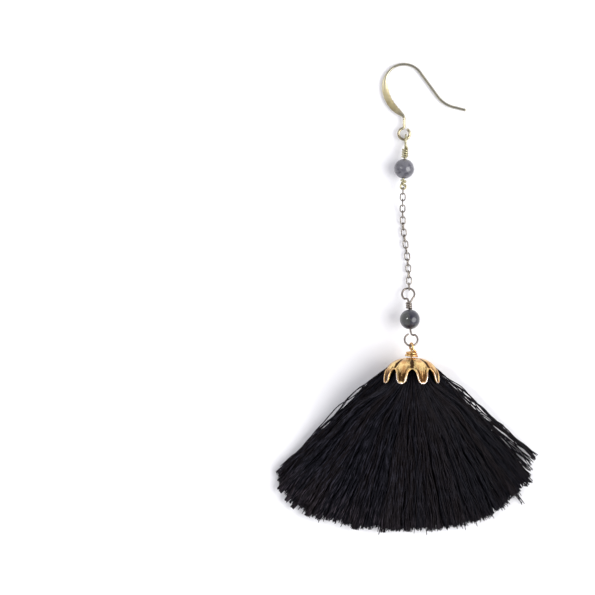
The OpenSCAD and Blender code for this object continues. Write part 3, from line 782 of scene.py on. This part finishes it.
# Strands at both sides of the fan: how many, and between which angles
SIDE_STRANDS = [(110, (FAN_LEFT - 0.8, -34)), (90, (34, FAN_RIGHT + 0.8))]
SIDE_RINGS, SIDE_FACETS = 34, 4
# Loose strands: how many, between which angles, how far they bow outward and the share of
# the fan's length that they reach
LOOSE = [(4, (-47.3, -46.7), (0.9, 1.6), 0.99), (9, (-47.4, -46), (-0.1, 0.7), 0.985),
         (8, (48.2, 50.2), (-0.5, 0.5), 0.985), (8, (43.3, 46.5), (-0.6, 0.6), 0.985),
         (14, (45, 48.8), (-2.2, 0.1), 0.985), (4, (35.3, 36), (-0.4, 0.4), 1.08)]
LOOSE_RINGS, LOOSE_FACETS = 44, 5
# Distance from the fan's point at which strands start, inside the cap
STRAND_START = 5


def held_up(f):
    """How much of its first height a thread still has, at a share f of its length."""
    return (1 + cos(180 * np.clip(f, 0, 1) ** 0.8)) / 2


def waved(rng, run, sizes):
    """Two independent sums of sine waves along the run, with their own phase and pace in
    each thread."""
    total = np.zeros((2,) + run.shape)
    for wave, size in sizes:
        phase = rng.uniform(0, 2 * np.pi, (2, len(run), 1))
        pace = rng.uniform(0.75, 1.3, (2, len(run), 1))
        own_size = size * rng.uniform(0.3, 1.5, (2, len(run), 1))
        total += own_size * np.sin(2 * np.pi * run * pace / wave + phase)
    return total


def settled(path, run, angle, rng, sizes):
    """Adds a thread's waves across and up once it is out of the cap, keeps it off the
    surface and rounds its bends."""
    across, up = waved(rng, run, sizes) * eased(run / WAVES_SET_IN)
    waves = [cos(angle)[:, None] * across, sin(angle)[:, None] * across, 0.6 * up]
    path = path + np.stack(waves, axis=-1)
    path[..., 2] = np.maximum(path[..., 2], THREAD_R + SKIN)
    path[:, 1:-1] = path[:, 1:-1] / 2 + (path[:, :-2] + path[:, 2:]) / 4
    return path + [CAP_AT[0], CAP_AT[1], 0]


def pile_height(angle, height):
    """Height over the surface at a place in the pile, which is thinner at the fan's sides."""
    start, end = PILE_THINS
    thick = mix(PILE_MID, PILE_SIDE, eased((np.abs(angle) - start) / (end - start)))
    return THREAD_R + SKIN + height * (thick - 2 * THREAD_R)


def away_from_point(angle):
    """Direction of a line of the fan, for each thread."""
    return np.stack([sin(angle), -cos(angle)], axis=-1)[:, None]


def fan_reach(angle, out):
    """Distance of each thread's end from the fan's point. out is its share of the full one."""
    return (np.interp(angle, *zip(*FRINGE_ENDS)) * out)[:, None]


def head_places(rng, angle):
    """Places across the head's round section for threads that leave it at an angle, from
    -1 to 1. The area of a round section left of x grows as arcsin x plus x times the root
    of 1 - x^2, so threads are spread evenly over it. A place past the edge is folded back."""
    middle, half = (FAN_LEFT + FAN_RIGHT) / 2, (FAN_RIGHT - FAN_LEFT) / 2
    stray = np.clip(rng.normal(0, STRAYS, len(angle)), -STRAYS_MOST, STRAYS_MOST)
    place = (angle - middle) / half + stray
    place = np.where(np.abs(place) > 1, np.sign(place) * (2 - np.abs(place)), place)
    x = np.linspace(-1, 1, 401)
    return np.interp(place, 2 / np.pi * (np.arcsin(x) + x * np.sqrt(1 - x**2)), x)


def fan_paths(rng, angle, height, out, rings):
    """Threads of the fan as paths of shape (threads, rings, 3). Each comes down inside the
    cap, passes its mouth at a place in the head's round section and falls to the surface
    as it turns on to a straight line away from the fan's point. angle is that line's
    angle, height the place in the pile from 0 to 1 and out the share of the full length."""
    across = head_places(rng, angle)
    up = (2 * height - 1) * np.sqrt(1 - across**2)
    share = np.concatenate([np.linspace(-1, 0, 4)[:-1], np.linspace(0, 1, rings - 3) ** 0.92])[None]
    in_head, inside, f = share < 0, np.clip(1 + share, 0, 1), np.clip(share, 0, 1)
    away = away_from_point(angle)
    apex = np.array([0, FAN_APEX])
    reach = fan_reach(angle, out)
    mouth = np.stack([HEAD_R * across, np.full(len(angle), MOUTH_Y)], axis=-1)[:, None]
    start = np.linalg.norm(mouth - apex, axis=-1)
    straight = mix(mouth, apex + away * reach[..., None], f[..., None])
    radial = apex + away * mix(start, reach, f)[..., None]
    plan = mix(straight, radial, eased(f / STRAIGHT_AT)[..., None])
    width = mix(HEAD_NARROWS, 1, eased(inside))
    head_y = np.broadcast_to(mix(HEAD_TOP_Y, MOUTH_Y, inside), plan.shape[:2])
    head = np.stack([mouth[..., 0] * width, head_y], axis=-1)
    plan = np.where(in_head[..., None], head, plan)
    head_z = CAP_AT[2] + HEAD_R * HEAD_FILLS * up[:, None]
    z = mix(pile_height(angle, height)[:, None], head_z, held_up(f))
    z = np.where(in_head, CAP_AT[2] + (z - CAP_AT[2]) * width, z)
    return settled(np.concatenate([plan, z[..., None]], axis=-1), f * reach, angle, rng, WAVES)


def side_paths(rng, angle, height, out, rings, bow, sizes):
    """Strands that leave through the cap's side notches on a straight line away from the
    fan's point, bent outward by the bow times 27/4 f (1 - f)^2, whose largest value is 1."""
    f = np.linspace(0, 1, rings)[None] ** 1.08
    outward = np.stack([cos(angle), sin(angle)], axis=-1)[:, None] * np.sign(angle)[:, None, None]
    reach = fan_reach(angle, out)
    plan = [0, FAN_APEX] + away_from_point(angle) * mix(STRAND_START, reach, f)[..., None]
    plan = plan + outward * (bow[:, None] * 27 / 4 * f * (1 - f) ** 2)[..., None]
    start_z = CAP_AT[2] + HEAD_R * 0.1 * (2 * height - 1)[:, None]
    z = mix(pile_height(angle, height)[:, None], start_z, held_up(f * 1.1 - 0.1))
    return settled(np.concatenate([plan, z[..., None]], axis=-1), f * reach, angle, rng, sizes)


def locks(rng, angle, height):
    """Draws threads together into small locks, which differ a little in length and tint. A
    few locks are tight, with ends that stand out from the hem, most of all on the left.
    Returns each thread's angle, the length that its lock adds, and its tint."""
    middle = rng.uniform(FAN_LEFT, FAN_RIGHT, LOCKS)
    level = rng.uniform(0, 1, LOCKS)
    distance = np.abs(angle[:, None] - middle) + HEIGHT_COUNTS * np.abs(height[:, None] - level)
    near = np.argmin(distance, axis=1)
    tint = mix(rng.uniform(0, 1, LOCKS)[near], rng.uniform(0, 1, len(angle)), 0.3)
    tight = rng.uniform(0, 1, LOCKS) < TIGHT_LOCKS
    stands_out = mix(STANDS_OUT_LEFT, STANDS_OUT, eased((middle + 38) / 30))
    tight_length = rng.uniform(0.2, 1, LOCKS) * stands_out
    length = np.clip(rng.laplace(0, LOCK_VARIES, LOCKS), LOCK_LEAST, LOCK_MOST)
    length = np.where(tight, tight_length, length)
    spread = np.where(tight, TIGHT_SPREAD, 1)[near]
    angle = mix(middle[near], angle, KEEPS * spread) + rng.normal(0, ASIDE, len(angle)) * spread
    return angle, length[near], tint


def threads(name, rng, path, tint, sides, finish):
    """One piece of threads, which differ a little in thickness and are thinner at their ends."""
    radius = THREAD_R * rng.uniform(THINNEST, THICKEST, (len(path), 1)) * np.ones(path.shape[1])
    radius[:, -1] *= END_SHARE
    points, faces, maps = tubes(path, radius, radius, sides, np.array([0.3, 0.1, 1.0]))
    marks = {"tint": np.repeat(tint, len(points) // len(path))}
    piece(name, points, faces, maps, finish, "tassel", marks)


def fan_layer(name, rng, finish, count, levels, angles, rings, sides):
    """One layer of the fan between two heights of the pile and two angles. A few threads
    stray from their lock's length."""
    angle = rng.uniform(*angles, count)
    height = rng.uniform(*levels, count)
    angle, length, tint = locks(rng, angle, height)
    stray = (rng.uniform(0, 1, count) < STRAY_THREADS) * rng.uniform(*STRAY_BY, count)
    out = FULL_LENGTH + length + stray - np.abs(rng.normal(0, FALLS_SHORT, count))
    threads(name, rng, fan_paths(rng, angle, height, out, rings), tint, sides, finish)


def tassel(finish):
    """Threads under the pile are plainer, those on top have more rings, and loose strands
    leave through the cap's side notches and bow away from the fan."""
    rng = np.random.default_rng(SEED)
    for name, layer in LAYERS.items():
        fan_layer(name, rng, finish, *layer)
    angle = np.concatenate([rng.uniform(*angles, count) for count, angles in SIDE_STRANDS])
    height = rng.uniform(0.1, 1, len(angle))
    out = 0.99 - np.abs(rng.normal(0, 0.015, len(angle)))
    bow = rng.uniform(-0.2, 0.3, len(angle))
    path = side_paths(rng, angle, height, out, SIDE_RINGS, bow, WAVES)
    threads("threads_side", rng, path, rng.uniform(0, 1, len(angle)), SIDE_FACETS, finish)
    strands = [(rng.uniform(*angles, count), rng.uniform(*bows, count), np.full(count, reach))
               for count, angles, bows, reach in LOOSE]
    angle, bow, out = (np.concatenate(values) for values in zip(*strands))
    height = rng.uniform(0.2, 1, len(angle))
    out = out - np.abs(rng.normal(0, 0.02, len(angle)))
    path = side_paths(rng, angle, height, out, LOOSE_RINGS, bow, LOOSE_WAVES)
    threads("threads_loose", rng, path, rng.uniform(0, 1, len(angle)), LOOSE_FACETS, finish)


# Lights: the direction each comes from, its height, its breadth and its strength
LIGHTS = {"key_light": (-8, 42, 52, 3.0), "small_light": (165, 56, 7, 0.62)}
# Room: its brightness, and its colours at shares of the way from its floor to its ceiling
ROOM_LIGHT = 1.05
ROOM = [(0.45, (0.95, 0.94, 1.0, 1)), (0.92, (0.24, 0.235, 0.27, 1))]


def room():
    """A white room whose ceiling is darker."""
    world = bpy.data.worlds.new("white_room")
    bpy.context.scene.world = world
    world.use_nodes = True
    nodes, links = world.node_tree.nodes, world.node_tree.links
    nodes.clear()
    place = nodes.new("ShaderNodeTexCoord")
    parts = nodes.new("ShaderNodeSeparateXYZ")
    ramp = nodes.new("ShaderNodeValToRGB")
    for stop, (at, colour) in zip(ramp.color_ramp.elements, ROOM):
        stop.position, stop.color = at, colour
    back = nodes.new("ShaderNodeBackground")
    back.inputs["Strength"].default_value = ROOM_LIGHT
    end = nodes.new("ShaderNodeOutputWorld")
    links.new(place.outputs["Generated"], parts.inputs[0])
    links.new(parts.outputs["Z"], ramp.inputs[0])
    links.new(ramp.outputs[0], back.inputs["Color"])
    links.new(back.outputs[0], end.inputs[0])


def studio():
    """Plain white surface in a white room, a broad light from the right and a small one
    from the left."""
    bpy.ops.mesh.primitive_plane_add(size=6, location=(0, 0, 0))
    card = bpy.context.object
    card.name = "surface"
    card.data.materials.append(surface_finish())
    for name, (towards, elevation, breadth, power) in LIGHTS.items():
        light = bpy.data.lights.new(name, "SUN")
        light.angle, light.energy = np.radians(breadth), power
        lamp = bpy.data.objects.new(name, light)
        aim = Vector((cos(towards) * cos(elevation), sin(towards) * cos(elevation), sin(elevation)))
        lamp.rotation_euler = aim.to_track_quat("Z", "Y").to_euler()
        bpy.context.scene.collection.objects.link(lamp)
    room()


# The photograph's frame: the width it covers, and the point at its middle. The camera is
# so high that heights hardly change the scale, which is exact at FOCUS_Z.
VIEW_WIDTH = 148.75
VIEW_MIDDLE = (-27.5, 0.19)
CAMERA_HEIGHT, FOCUS_Z = 1000, 3.5


def camera():
    """Looks straight down on the surface."""
    view = bpy.data.cameras.new("camera")
    view.lens = view.sensor_width * (CAMERA_HEIGHT - FOCUS_Z) / VIEW_WIDTH
    view.clip_start, view.clip_end = 0.01, 20
    made = bpy.data.objects.new("camera", view)
    made.location = Vector((*VIEW_MIDDLE, CAMERA_HEIGHT)) * MM
    bpy.context.scene.collection.objects.link(made)
    bpy.context.scene.camera = made


# Wire metals: bright, worn and tarnished colour, roughness and how much is tarnished
METALS = {
    "antique_brass": ((0.33, 0.30, 0.255), (0.22, 0.19, 0.16), (0.06, 0.048, 0.04), 0.27, 0.16),
    "olive_brass": ((0.50, 0.47, 0.30), (0.40, 0.36, 0.22), (0.12, 0.10, 0.06), 0.30, 0.06),
    "aged_pewter": ((0.29, 0.255, 0.222), (0.22, 0.19, 0.165), (0.09, 0.07, 0.06), 0.30, 0.08)}
# Stones: light and deep colour, and that of the veins
STONES = {
    "slate_stone": ((0.105, 0.103, 0.122), (0.030, 0.029, 0.042), (0.21, 0.21, 0.22)),
    "dark_slate_stone": ((0.046, 0.049, 0.045), (0.011, 0.010, 0.024), (0.085, 0.088, 0.082))}


def dress():
    """Every finish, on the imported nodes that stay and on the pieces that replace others."""
    brass, olive, pewter = (metal_finish(name, *values) for name, values in METALS.items())
    slate, dark = (bead_finish(name, *colours) for name, colours in STONES.items())
    for name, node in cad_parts.items():
        finish = {"upper_bead": slate, "lower_bead": dark}.get(name, brass)
        for place in node.material_slots:
            place.material = finish
    gold = cap_finish("antique_gold")
    ear_hook(hook_finish())
    upper_pin(olive)
    lower_pin(pewter)
    tassel_wire(gold)
    bead_cap(gold)
    tassel(thread_finish())


camera()
studio()
dress()
bpy.context.scene.view_settings.view_transform = "Standard"
bpy.context.view_layer.update()
